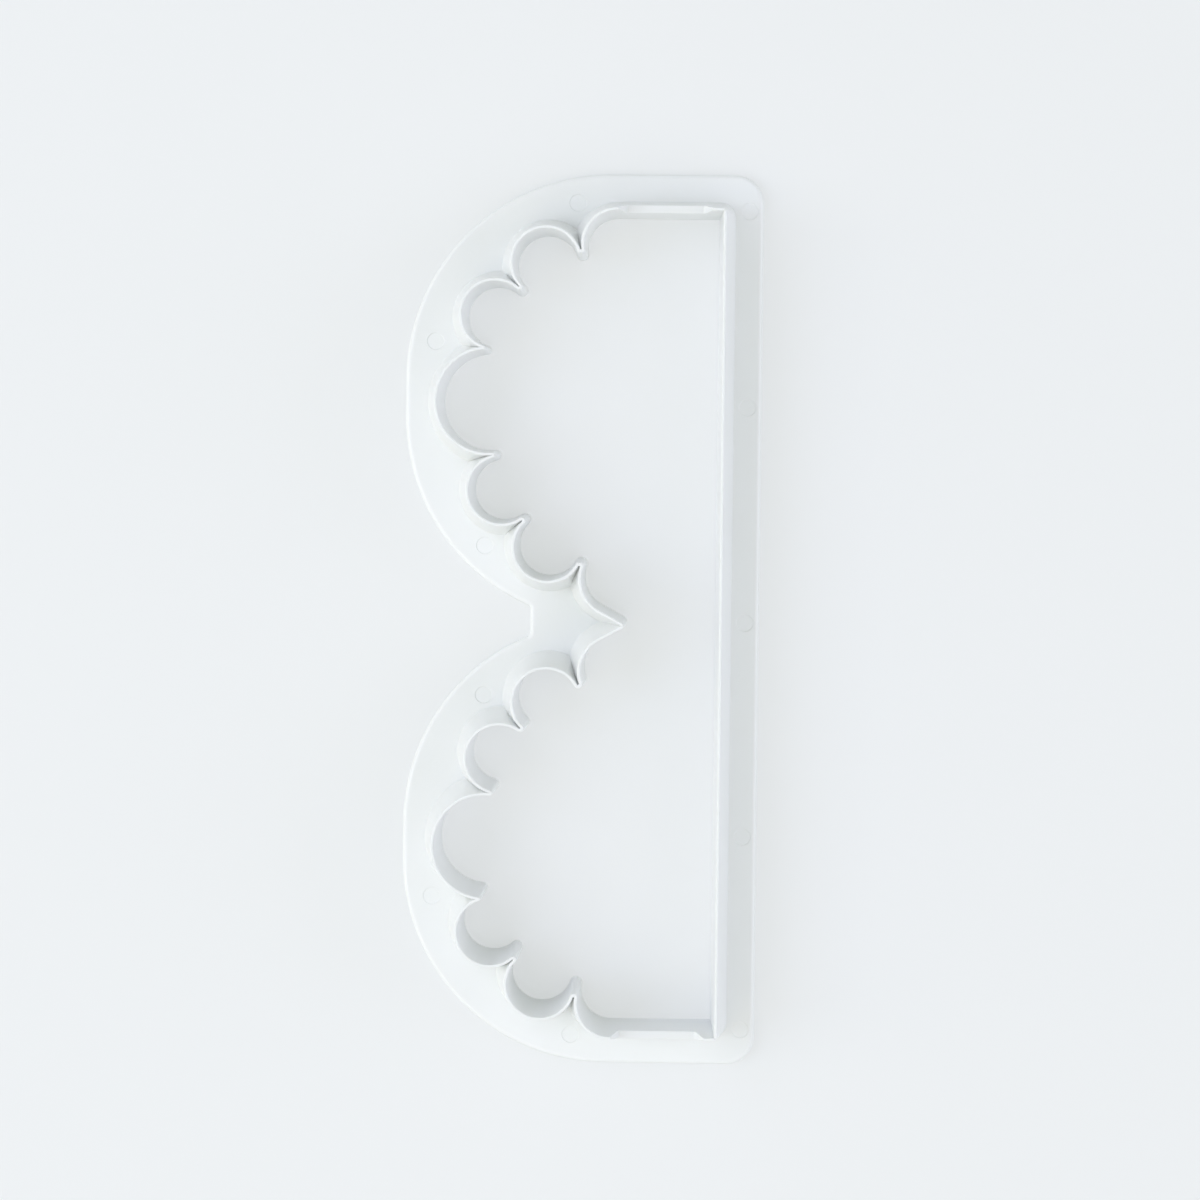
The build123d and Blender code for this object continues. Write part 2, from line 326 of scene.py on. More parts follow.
class Sweep:
    """A cross-section that is drawn along a path and leaves a skin behind it."""

    def __init__(self, bm: BMesh, verts: Sequence[BMVert], edges: Sequence[BMEdge]) -> None:
        """Starts from a chain of edges that is already in the mesh."""
        self.bm = bm
        self.verts = list(verts)
        self.edges = list(edges)

    @classmethod
    def from_points(cls, bm: BMesh, points: Sequence[Vector]) -> "Sweep":
        """Starts a new chain through the points."""
        verts = [bm.verts.new(point) for point in points]
        edges = [bm.edges.new(pair) for pair in zip(verts, verts[1:])]
        return cls(bm, verts, edges)

    def part(self, count: int) -> "Sweep":
        """A sweep that goes on from the first verts of this one alone."""
        return Sweep(self.bm, self.verts[:count], self.edges[: count - 1])

    def turn(self, centre: Vector, degrees: float, steps: int) -> None:
        """Turns the chain about an upright axis.

        Args:
            centre: A point of the axis.
            degrees: How far, counted from +X to +Y.
            steps: How many rows of faces it leaves.
        """
        angle = math.radians(degrees)
        spun = Matrix.Rotation(angle, 3, UP)
        wanted = [spun @ (vert.co - centre) + centre for vert in self.verts]
        made = bmesh.ops.spin(
            self.bm, geom=[*self.verts, *self.edges], cent=centre, axis=UP, dvec=(0.0, 0.0, 0.0),
            angle=angle, steps=steps, use_merge=False, use_normal_flip=False, use_duplicate=False,
        )
        self._follow(made["geom_last"], wanted)

    def run(self, places: Sequence[Vector]) -> None:
        """Draws the chain on in one row of faces.

        Args:
            places: Where each of its verts comes to, in order.
        """
        here = [vert.co.copy() for vert in self.verts]
        made = bmesh.ops.extrude_edge_only(self.bm, edges=self.edges)
        self._follow(made["geom"], here)
        for vert, place in zip(self.verts, places):
            vert.co = place

    def _follow(self, geometry: Sequence[Element], wanted: list[Vector]) -> None:
        """Takes over the new chain, in the old chain's order.

        Args:
            geometry: What the operator made.
            wanted: Where the new chain's verts lie, in order.
        """
        fresh = [item for item in geometry if isinstance(item, BMVert)]
        self.verts = [
            min(fresh, key=lambda vert: (vert.co - place).length_squared) for place in wanted
        ]
        self.edges = [self.bm.edges.get(pair) for pair in zip(self.verts, self.verts[1:])]


def cut_away(bm: BMesh, place: Vector, away: Vector) -> list[BMVert]:
    """Cuts off everything beyond an upright plane.

    Args:
        bm: The mesh that is cut.
        place: A point of the plane.
        away: The plane's normal, towards what is cut off.

    Returns:
        The verts on the plane.
    """
    everything = [*bm.verts, *bm.edges, *bm.faces]
    cut = bmesh.ops.bisect_plane(
        bm, geom=everything, dist=TOUCH, plane_co=place, plane_no=away, clear_outer=True
    )
    return [item for item in cut["geom_cut"] if isinstance(item, BMVert)]


def close_holes(bm: BMesh) -> None:
    """Closes every hole that is left, and turns all faces of the mesh outwards."""
    bmesh.ops.remove_doubles(bm, verts=bm.verts, dist=TOUCH)
    rims = [edge for edge in bm.edges if edge.is_boundary]
    bmesh.ops.holes_fill(bm, edges=rims, sides=0)
    bmesh.ops.recalc_face_normals(bm, faces=bm.faces)


def mirror_y(bm: BMesh, spare: frozenset = frozenset()) -> None:
    """Adds the mirror image on the other side of Y = 0, and welds the two.

    Args:
        bm: The mesh.
        spare: The elements that stay on their own.
    """
    geometry = [item for item in (*bm.verts, *bm.edges, *bm.faces) if item not in spare]
    bmesh.ops.mirror(bm, geom=geometry, matrix=Matrix.Identity(4), merge_dist=TOUCH, axis="Y")
    bmesh.ops.remove_doubles(bm, verts=bm.verts, dist=TOUCH)


class End(Enum):
    """The two ends of the cutter, and the sign of their Y."""

    FAR = 1
    NEAR = -1

    @property
    def word(self) -> str:
        """The word that the end's nodes start with."""
        return self.name.lower()


def upright(centre: Vector, angle: float, radius: float, profile: Sequence[Point2]) -> list[Vector]:
    """A profile's points in the upright plane at an angle, with offsets counted from a radius."""
    return [centre + ray(angle, radius + offset) + UP * z for offset, z in profile]


def row_count(degrees: float, step: float) -> int:
    """How many rows of faces a turn takes."""
    return max(2, math.ceil(abs(degrees) / step))


def shade_smooth(bm: BMesh, level_too: bool = True) -> None:
    """Shades all the faces smooth, with or without the level ones."""
    for face in bm.faces:
        face.smooth = level_too or abs(face.normal.z) <= LEVEL


@dataclass
class Moulding:
    """What all the pieces of the moulding share.

    Attributes:
        line: The plan.
        finish: The material.
        scallop_step: Degrees of a scallop in each row of faces.
        nose_step: Degrees of a tip in each row.
        corner_rows: Rows of the round outside of a square corner.
    """

    line: CuttingLine
    finish: bpy.types.Material
    scallop_step: float = 3.0
    nose_step: float = 12.0
    corner_rows: int = 6

    @property
    def section(self) -> Section:
        """The blade's cross-section."""
        return self.line.section

    def publish(self, bm: BMesh, name: str, nodes: Sequence[str]) -> None:
        """Makes the object, sets its finish and says what it stands for.

        Args:
            bm: The finished mesh. It is freed.
            name: The piece's name.
            nodes: The frame's nodes that it stands for.
        """
        data = bpy.data.meshes.new(name)
        bm.to_mesh(data)
        bm.free()
        data.materials.append(self.finish)
        piece = bpy.data.objects.new(name, data)
        bpy.context.scene.collection.objects.link(piece)
        data.set_sharp_from_angle(angle=SHARP_ANGLE)
        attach(piece, "root")
        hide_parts(*nodes)
        LOG.info("%s: %d faces for %s", name, len(data.polygons), ", ".join(nodes))

    def publish_pair(self, bm: BMesh, stem: str) -> None:
        """Publishes a piece of the far end and its mirror image at the near end.

        Args:
            bm: The far piece's mesh. It is freed.
            stem: The node's name without its end.
        """
        for end in End:
            twin = bm.copy()
            if end is End.NEAR:
                bmesh.ops.scale(twin, vec=(1.0, -1.0, 1.0), verts=twin.verts)
                bmesh.ops.reverse_faces(twin, faces=twin.faces)
            self.publish(twin, f"{end.word}_{stem}_skin", [f"{end.word}_{stem}"])
        bm.free()

    def round_tip(self, bm: BMesh, side: Sweep, tip: Cusp, home: Vector) -> list[BMVert]:
        """Rounds a wall's end over half of a tip, down to the plane that parts the tip.

        The inner face turns round the tip, the outer face is cut, and the top is closed.

        Args:
            bm: The wall's mesh.
            side: The wall's last cross-section, in the upright plane through the tip's centre.
            tip: The cusp or point.
            home: A point on this wall's side of the parting plane.

        Returns:
            The outline of the face on the parting plane, in order.
        """
        count = self.section.inner_count()
        outer = side.verts[count:]
        nose = side.part(count)
        facing = angle_of(side.verts[0].co - tip.centre)
        sweep = half_turn(tip.outward + 180.0 - facing)
        rows = row_count(sweep, self.nose_step)
        top = [side.verts[count - 1]]
        for _ in range(rows):
            nose.turn(tip.centre, sweep / rows, 1)
            top.append(nose.verts[-1])

        across = ray(tip.outward + 90.0)
        away = -across if (home - tip.centre).dot(across) > 0 else across
        kept = [vert for vert in outer if (vert.co - tip.centre).dot(away) < -TOUCH]
        on_plane = cut_away(bm, tip.centre, away)
        crest = bm.verts.new(tip.centre + UP * self.section.height)
        way_out = ray(tip.outward)
        crease = [vert for vert in on_plane if (vert.co - tip.centre).dot(way_out) > -TOUCH]
        crease.sort(key=lambda vert: -vert.co.z)
        bm.faces.new([*kept, crease[0], crest])
        bm.faces.new([crest, kept[0], *top])
        return [*nose.verts, crest, *crease]

    def turn_corner(self, body: Sweep, profile: Sequence[Point2], along_x: bool) -> None:
        """Draws a wall on to the mitre at the square corner, sharp inside and round outside.

        Args:
            body: The sweep, still short of the corner.
            profile: The cross-section that it draws.
            along_x: True for the wall that runs along X, False for the one along Y.
        """
        line = self.line
        corner = Vector((line.long_x, line.end_y, 0.0))
        pivot = corner - Vector((line.corner_radius, line.corner_radius, 0.0))
        begin = body.verts[0].co.copy()
        for row in range(self.corner_rows + 1):
            share = row / self.corner_rows
            angle = 90.0 - 45.0 * share if along_x else 45.0 * share
            places = []
            for offset, z in profile:
                if offset < 0:
                    aim = corner + Vector((offset, offset, 0.0))
                    start = (begin.x, aim.y, 0.0) if along_x else (aim.x, begin.y, 0.0)
                    place = Vector(start).lerp(aim, (row + 1) / (self.corner_rows + 1))
                else:
                    place = pivot + ray(angle, line.corner_radius + offset)
                places.append(place + UP * z)
            body.run(places)


@dataclass
class ScallopWall(Moulding):
    """The curved wall round one scallop, with its halves of the cusps beside it."""

    index: int = 0

    def build(self) -> None:
        """Sweeps the wall, rounds its tips, and publishes it at both ends."""
        line = self.line
        tips = line.cusps
        scallop = line.scallops[self.index]
        before = tips[self.index - 1] if self.index else None
        after = tips[self.index] if self.index < len(tips) else None
        start = angle_of(before.centre - scallop.centre) if before else line.point_angle + 180.0
        stop = angle_of(after.centre - scallop.centre) if after else 90.0
        sweep = -((start - stop) % 360.0)

        bm = bmesh.new()
        wall = self.section.wall()
        body = Sweep.from_points(bm, upright(scallop.centre, start, scallop.radius, wall))
        first = Sweep(bm, body.verts, body.edges)
        body.turn(scallop.centre, sweep, row_count(sweep, self.scallop_step))
        for side, tip in ((first, before), (body, after)):
            outline = self.round_tip(bm, side, tip, scallop.centre) if tip else side.verts
            bm.faces.new(outline)
        close_holes(bm)
        shade_smooth(bm)
        self.publish_pair(bm, f"scallop_{self.index + 1}")


@dataclass
class PointWall(Moulding):
    """The wall round the sharp point between the two humps."""

    def build(self) -> None:
        """Draws one straight flank up to the point, and mirrors it."""
        inner = self.line.scallops[0]
        tip = self.line.point
        start = self.line.point_angle + 180.0
        bm = bmesh.new()
        wall = self.section.wall()
        flank = Sweep.from_points(bm, upright(inner.centre, start, inner.radius, wall))
        bm.faces.new(flank.verts)
        flank.run(upright(tip.centre, start, -tip.radius, wall))
        self.round_tip(bm, flank, tip, inner.centre)
        mirror_y(bm)
        close_holes(bm)
        shade_smooth(bm)
        self.publish(bm, "middle_point_skin", ["middle_point"])


@dataclass
class EndWall(Moulding):
    """The straight wall at one end, with its lowered middle.

    Attributes:
        low_drop: How far the lowered stretch lies below the cutting edge.
        low_ramp: Length of its ramp on the scallop's side.
        post_width: Width of the stretch at full height beside the corner.
        post_ramp: Length of the ramp up to that.
        ramp_rows: Rows of faces on each ramp.
    """

    low_drop: float = 4.6 * MM
    low_ramp: float = 1.4 * MM
    post_width: float = 1.65 * MM
    post_ramp: float = 1.4 * MM
    ramp_rows: int = 10

    @property
    def stretch(self) -> tuple[float, float]:
        """Where the lowered stretch starts and stops, along X."""
        return self.line.scallops[-1].centre.x, self.line.long_x - self.post_width

    def lowering(self, x: float) -> float:
        """How far the top lies below the cutting edge at a place along the wall."""
        start, stop = self.stretch
        down = smooth_step((x - start) / self.low_ramp)
        return self.low_drop * down * smooth_step((stop - x) / self.post_ramp)

    def place(self, offset: float, z: float, x: float) -> Vector:
        """Places a point of the cross-section, its rounded top lowered along the drafted faces.

        Args:
            offset: The point's offset from the cutting line.
            z: Its height.
            x: The place along the wall.

        Returns:
            Where it lies.
        """
        section = self.section
        drop = self.lowering(x)
        if z > section.height - section.edge_round - 2 * section.hold:
            slope = section.outer_slope() if offset > 0 else -section.inner_slope()
            offset += slope * drop
            z -= drop
        return Vector((x, self.line.end_y + offset, z))

    def stations(self) -> list[float]:
        """Places along the wall, closer together on the ramps."""
        start, stop = self.stretch
        shares = [row / self.ramp_rows for row in range(self.ramp_rows + 1)]
        places = [start + self.low_ramp * share for share in shares[1:]]
        places += [stop - self.post_ramp * (1.0 - share) for share in shares]
        places.append(self.line.long_x - self.section.root_inside - self.section.root_fillet)
        return places

    def build(self) -> None:
        """Draws the wall from the last scallop to the corner, and publishes it at both ends."""
        bm = bmesh.new()
        wall = self.section.wall()
        body = Sweep.from_points(bm, [self.place(*point, self.stretch[0]) for point in wall])
        bm.faces.new(body.verts)
        for x in self.stations():
            body.run([self.place(*point, x) for point in wall])
        self.turn_corner(body, wall, along_x=True)
        bm.faces.new(body.verts)
        close_holes(bm)
        shade_smooth(bm)
        self.publish_pair(bm, "end_blade")


@dataclass
class LongWall(Moulding):
    """The straight wall along the long side."""

    def build(self) -> None:
        """Draws the wall from the middle to one corner, and mirrors it."""
        bm = bmesh.new()
        wall = self.section.wall()
        x = self.line.long_x
        body = Sweep.from_points(bm, [Vector((x + offset, 0.0, z)) for offset, z in wall])
        stop = self.line.end_y - self.section.root_inside - self.section.root_fillet
        body.run([Vector((x + offset, stop, z)) for offset, z in wall])
        self.turn_corner(body, wall, along_x=False)
        bm.faces.new(body.verts)
        mirror_y(bm)
        close_holes(bm)
        shade_smooth(bm)
        self.publish(bm, "long_blade_skin", ["long_blade"])


@dataclass
class Flange(Moulding):
    """The flat rim round the foot of the blade, with its shallow ejector marks.

    Attributes:
        thickness: Height of its upper face.
        right: X of its long side.
        left: X of its rim beside the big scallops.
        top: Y of its far side.
        corner: Radius of its square corners in plan.
        rim_round: Rounding of its upper rim.
        side_flat: Straight stretch beside each big scallop.
        notch_depth: How far the notch between the humps reaches in.
        notch_flat: Width of the notch's flat bottom.
        notch_round: Radius in the notch's two nooks.
        mark_radius: Radius of an ejector mark.
        mark_depth: Its depth.
        mark_draft: How much its radius grows from the floor to the top.
        mark_round: Rounding of its floor and its rim.
        mark_inset: How far its centre lies from a curved rim.
        mark_shares: Places on the long strip, as shares of half its length.
        outer_mark_angles: Places round the rim's arc towards the end.
        inner_mark_angles: Places round its arc towards the notch.
        mark_steps: Straight stretches in each rounding of a mark.
        mark_rows: Rows of faces round a mark.
        rim_step: Degrees of the rim's arcs in each row of faces.
        corner_step: Degrees of the square corners in each row.
    """

    thickness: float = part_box("long_flange")[1].z
    right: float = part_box("long_flange")[1].x
    left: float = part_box("far_hump_flange")[0].x
    top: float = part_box("far_hump_flange")[1].y
    corner: float = 4.2 * MM
    rim_round: float = 0.65 * MM
    side_flat: float = 5.6 * MM
    notch_depth: float = 18.85 * MM
    notch_flat: float = 4.4 * MM
    notch_round: float = 0.6 * MM
    mark_radius: float = 1.25 * MM
    mark_depth: float = 0.1 * MM
    mark_draft: float = 0.025 * MM
    mark_round: float = 0.04 * MM
    mark_inset: float = 3.8 * MM
    mark_shares: tuple[float, ...] = (0.53, 1.01)
    outer_mark_angles: tuple[float, ...] = (101.0, 168.0)
    inner_mark_angles: tuple[float, ...] = (226.0,)
    mark_steps: int = 3
    mark_rows: int = 48
    rim_step: float = 2.0
    corner_step: float = 6.0

    def rim_radius(self) -> float:
        """Radius of the two arcs round each hump, with the straight stretch between them."""
        span = self.top - self.side_flat - self.notch_flat / 2
        return span + self.notch_depth - math.sqrt(2 * span * self.notch_depth)

    def rim_centres(self) -> tuple[Vector, Vector]:
        """Centres of the arc towards the end and of the arc towards the notch."""
        radius = self.rim_radius()
        outer = Vector((self.left + radius, self.top - radius, 0.0))
        return outer, outer - Vector((0.0, self.side_flat, 0.0))

    def rim_section(self) -> list[Point2]:
        """The rim from its underside to its top, as insets from the outline and heights."""
        section = self.section
        inset = self.rim_round + 4 * section.hold
        corners = [(inset, 0.0), (0.0, 0.0), (0.0, self.thickness), (inset, self.thickness)]
        radii = [section.under_round, self.rim_round]
        return soften(corners, radii, section.steps + 1, section.hold)[1:-1]

    def sweep_rim(self, bm: BMesh) -> None:
        """Draws the rim on +Y, from the long side round the hump to the notch.

        Args:
            bm: The flange's mesh.
        """
        profile = self.rim_section()
        pivot = Vector((self.right - self.corner, self.top - self.corner, 0.0))
        outer, inner = self.rim_centres()
        radius = self.rim_radius()
        notch_x = self.left + self.notch_depth
        nook_x = notch_x - self.notch_round
        fall = math.sqrt((radius + self.notch_round) ** 2 - (nook_x - inner.x) ** 2)
        nook = Vector((nook_x, inner.y - fall, 0.0))
        approach = angle_of(nook - inner) % 360.0

        rim = Sweep.from_points(bm, [Vector((self.right - inset, 0.0, z)) for inset, z in profile])
        rim.run([Vector((self.right - inset, pivot.y, z)) for inset, z in profile])
        rim.turn(pivot, 90.0, row_count(90.0, self.corner_step))
        rim.run([Vector((outer.x, self.top - inset, z)) for inset, z in profile])
        rim.turn(outer, 90.0, row_count(90.0, self.rim_step))
        rim.run([Vector((self.left + inset, inner.y, z)) for inset, z in profile])
        bend = approach - 180.0
        rim.turn(inner, bend, row_count(bend, self.rim_step))
        rim.turn(nook, -bend, row_count(bend, self.nose_step))
        rim.run([Vector((notch_x + inset, 0.0, z)) for inset, z in profile])

    def sweep_opening(self, bm: BMesh) -> None:
        """Draws the flange's face round the opening on +Y, from the point to the long side.

        Args:
            bm: The flange's mesh.
        """
        line = self.line
        profile = self.section.opening()
        point = line.point
        chain = line.scallops
        tips = line.cusps
        reach = [point.centre + ray(0.0, point.radius - offset) + UP * z for offset, z in profile]
        face = Sweep.from_points(bm, reach)
        face.turn(point.centre, line.point_angle, row_count(line.point_angle, self.nose_step))
        start = line.point_angle + 180.0
        home = chain[0]
        face.run(upright(home.centre, start, home.radius, profile))
        for index, scallop in enumerate(chain):
            tip = tips[index] if index < len(tips) else None
            stop = angle_of(tip.centre - scallop.centre) if tip else 90.0
            sweep = -((start - stop) % 360.0)
            face.turn(scallop.centre, sweep, row_count(sweep, self.scallop_step))
            if tip:
                onward = angle_of(chain[index + 1].centre - tip.centre)
                nose = (onward - (stop - 180.0)) % 360.0
                face.turn(tip.centre, nose, row_count(nose, self.nose_step))
                start = onward + 180.0
        corner = Vector((line.long_x, line.end_y, 0.0))
        face.run([corner + Vector((offset, offset, z)) for offset, z in profile])
        face.run([Vector((line.long_x + offset, 0.0, z)) for offset, z in profile])

    def mark_places(self) -> list[Vector]:
        """Where the ejector marks lie, on both sides of Y = 0."""
        line = self.line
        strip_x = (line.long_x + self.section.root_outside + self.right) / 2
        outer, inner = self.rim_centres()
        reach = self.rim_radius() - self.mark_inset
        half = [Vector((strip_x, share * line.end_y, 0.0)) for share in self.mark_shares]
        half += [outer + ray(angle, reach) for angle in self.outer_mark_angles]
        half += [inner + ray(angle, reach) for angle in self.inner_mark_angles]
        middle = Vector((strip_x, 0.0, 0.0))
        return [middle, *half, *(Vector((place.x, -place.y, 0.0)) for place in half)]

    def sink_mark(self, bm: BMesh, place: Vector) -> None:
        """Makes one shallow round recess, whose rim is left open for the flange's top.

        Args:
            bm: The flange's mesh.
            place: The recess's centre, at Z = 0.
        """
        low = self.thickness - self.mark_depth
        corners = [
            (self.mark_radius / 2, low),
            (self.mark_radius, low),
            (self.mark_radius + self.mark_draft, self.thickness),
            (self.mark_radius * 2, self.thickness),
        ]
        line = soften(corners, [self.mark_round] * 2, self.mark_steps, self.mark_round / 2)
        ring = Sweep.from_points(bm, [place + ray(0.0, radius) + UP * z for radius, z in line[:-1]])
        bmesh.ops.spin(
            bm, geom=[*ring.verts, *ring.edges], cent=place, axis=UP, dvec=(0.0, 0.0, 0.0),
            angle=math.tau, steps=self.mark_rows, use_merge=True, use_normal_flip=False,
            use_duplicate=False,
        )
        floor = [edge for edge in bm.edges if edge.is_boundary and self.is_mark_floor(edge, place)]
        bmesh.ops.contextual_create(bm, geom=floor)

    def is_mark_floor(self, edge: BMEdge, place: Vector) -> bool:
        """True for an edge round the flat bottom of the mark at a place."""
        low = self.thickness - self.mark_depth / 2
        return all(
            vert.co.z < low and (vert.co.xy - place.xy).length < self.mark_radius
            for vert in edge.verts
        )

    def fill_level(self, bm: BMesh, level: float) -> None:
        """Fills the flat face at a height, round the openings in it.

        Args:
            bm: The flange's mesh.
            level: The height.
        """
        rims = [
            edge for edge in bm.edges
            if edge.is_boundary and all(abs(vert.co.z - level) < TOUCH for vert in edge.verts)
        ]
        bmesh.ops.triangle_fill(bm, use_beauty=True, use_dissolve=False, edges=rims, normal=UP)

    def share_of(self, face: BMFace) -> str:
        """Finds which share of the flange a face belongs to.

        Args:
            face: The face, which lies in one share alone.

        Returns:
            The stem of the share's node.
        """
        place = face.calc_center_median()
        height = abs(place.y)
        line = self.line
        past_mitre = place.x - line.long_x > height - line.end_y
        if past_mitre and place.x > line.long_x - line.point_reach / 2:
            return "long_flange"
        if place.x > line.scallops[-1].centre.x and height > line.end_y / 2:
            return "end_flange"
        return "hump_flange"

    def build(self) -> None:
        """Makes the whole flange, and publishes it in its five shares."""
        bm = bmesh.new()
        for place in self.mark_places():
            self.sink_mark(bm, place)
        marks = frozenset((*bm.verts, *bm.edges, *bm.faces))
        self.sweep_rim(bm)
        self.sweep_opening(bm)
        mirror_y(bm, marks)
        for level in (self.thickness, 0.0):
            self.fill_level(bm, level)
        bm.normal_update()
        bmesh.ops.recalc_face_normals(bm, faces=bm.faces)
        shade_smooth(bm, level_too=False)
        self.part_shares(bm)
        for end in End:
            for stem in ("hump_flange", "end_flange"):
                self.publish_share(bm, stem, end)
        self.publish_share(bm, "long_flange", None)
        bm.free()

    def part_shares(self, bm: BMesh) -> None:
        """Cuts the flange's faces where its shares meet, and keeps them all.

        Args:
            bm: The flange's mesh.
        """
        line = self.line
        corner = Vector((line.long_x, line.end_y, 0.0))
        facing = [
            (Vector((0.0, 0.0, 0.0)), Vector((0.0, 1.0, 0.0))),
            (line.scallops[-1].centre, Vector((1.0, 0.0, 0.0))),
            (corner, Vector((1.0, -1.0, 0.0))),
            (Vector((corner.x, -corner.y, 0.0)), Vector((1.0, 1.0, 0.0))),
        ]
        for place, normal in facing:
            everything = [*bm.verts, *bm.edges, *bm.faces]
            bmesh.ops.bisect_plane(bm, geom=everything, dist=TOUCH, plane_co=place, plane_no=normal)

    def publish_share(self, bm: BMesh, stem: str, end: Optional[End]) -> None:
        """Publishes one share of the flange.

        Args:
            bm: The whole flange. It is left as it is.
            stem: The share, as its node's name has it.
            end: The end that the share lies at, or None where it spans both.
        """
        twin = bm.copy()
        other = [
            face for face in twin.faces
            if self.share_of(face) != stem or (end and face.calc_center_median().y * end.value < 0)
        ]
        bmesh.ops.delete(twin, geom=other, context="FACES")
        close_holes(twin)
        node = f"{end.word}_{stem}" if end else stem
        self.publish(twin, f"{node}_skin", [node])


Value = Union["Socket", float]


class Socket:
    """An output socket that takes part in sums."""

    def __init__(self, graph: "Graph", output: Optional[bpy.types.NodeSocket]) -> None:
        """Wraps an output of a node in the graph."""
        self.graph = graph
        self.output = output

    def _math(self, operation: str, first: Value, second: Value) -> "Socket":
        """Adds one Math node."""
        return self.graph.node("ShaderNodeMath", {"operation": operation}, {0: first, 1: second})

    def __add__(self, other: Value) -> "Socket":
        """This and other."""
        return self._math("ADD", self, other)

    __radd__ = __add__

    def __mul__(self, other: Value) -> "Socket":
        """This times other."""
        return self._math("MULTIPLY", self, other)

    __rmul__ = __mul__

    def __sub__(self, other: Value) -> "Socket":
        """This less other."""
        return self._math("SUBTRACT", self, other)

    def __rsub__(self, other: Value) -> "Socket":
        """Other less this."""
        return self._math("SUBTRACT", other, self)


class Graph:
    """The node tree of one material."""

    def __init__(self, name: str) -> None:
        """Makes an empty material."""
        self.material = bpy.data.materials.new(name)
        self.material.use_nodes = True
        self.tree = self.material.node_tree
        self.tree.nodes.clear()

    def node(self, kind: str, settings: dict, inputs: dict, output: Union[int, str] = 0) -> Socket:
        """Adds a node.

        Args:
            kind: The node's type.
            settings: Its settings, set before its sockets.
            inputs: Values or sockets, by the input's name or number.
            output: The output that is wanted.

        Returns:
            That output.
        """
        made = self.tree.nodes.new(kind)
        for key, value in settings.items():
            setattr(made, key, value)
        for key, value in inputs.items():
            if isinstance(value, Socket):
                self.tree.links.new(value.output, made.inputs[key])
            else:
                made.inputs[key].default_value = value
        return Socket(self, made.outputs[output] if len(made.outputs) else None)

    def place(self) -> Socket:
        """Where a point lies on the object, in metres."""
        return self.node("ShaderNodeTexCoord", {}, {}, "Object")

    def noise(self, size: float, detail: float, roughness: float = 0.5) -> Socket:
        """Noise from 0 to 1.

        Args:
            size: The size of its largest blotches, in metres.
            detail: How many finer layers it has.
            roughness: How strong those are.

        Returns:
            The noise.
        """
        inputs = {"Vector": self.place(), "Scale": 1.0 / size}
        inputs |= {"Detail": detail, "Roughness": roughness}
        return self.node("ShaderNodeTexNoise", {"noise_dimensions": "3D"}, inputs, "Fac")

    def mix(self, share: Value, first: tuple, second: tuple) -> Socket:
        """A colour between two, by a share. The numbers are the node's colour sockets."""
        settings = {"data_type": "RGBA", "blend_type": "MIX"}
        return self.node("ShaderNodeMix", settings, {0: share, 6: first, 7: second}, 2)

    def finish(self, shader: Socket) -> bpy.types.Material:
        """Links the shader to the material's output."""
        self.node("ShaderNodeOutputMaterial", {}, {"Surface": shader})
        return self.material


@dataclass(frozen=True)
class WhitePlastic:
    """Smooth moulded white plastic, satin, with faint flow marks and a very fine grain."""

    tone: tuple[float, float, float] = (0.915, 0.932, 0.925)
    pale_tone: tuple[float, float, float] = (0.930, 0.945, 0.940)  # in the blotches
    glow_tone: tuple[float, float, float] = (0.93, 0.95, 0.94)  # of light that comes through
    glow_share: float = 0.08
    blotch: float = 14.0 * MM
    blotch_layers: float = 2.0
    grain: float = 0.22 * MM
    grain_depth: float = 0.004 * MM
    grain_layers: float = 2.0
    grain_strength: float = 0.6  # of the finer layers
    flow: float = 5.0 * MM
    flow_depth: float = 0.012 * MM
    flow_layers: float = 1.0
    roughness: float = 0.36
    roughness_spread: float = 0.1
    refraction: float = 1.49

    def build(self) -> bpy.types.Material:
        """Makes the material."""
        graph = Graph("white_plastic")
        blotches = graph.noise(self.blotch, self.blotch_layers)
        grain = graph.noise(self.grain, self.grain_layers, self.grain_strength)
        flow = graph.noise(self.flow, self.flow_layers)
        colour = graph.mix(blotches, (*self.tone, 1.0), (*self.pale_tone, 1.0))
        roughness = self.roughness + (grain - 0.5) * self.roughness_spread
        height = grain * self.grain_depth + flow * self.flow_depth
        relief = {"Strength": 1.0, "Distance": 1.0, "Height": height}
        bump = graph.node("ShaderNodeBump", {}, relief)
        inputs = {
            "Base Color": colour,
            "Roughness": roughness,
            "Normal": bump,
            "IOR": self.refraction,
        }
        face = graph.node("ShaderNodeBsdfPrincipled", {}, inputs)
        glow = graph.node("ShaderNodeBsdfTranslucent", {}, {"Color": (*self.glow_tone, 1.0)})
        parts = {0: self.glow_share, 1: face, 2: glow}
        return graph.finish(graph.node("ShaderNodeMixShader", {}, parts))


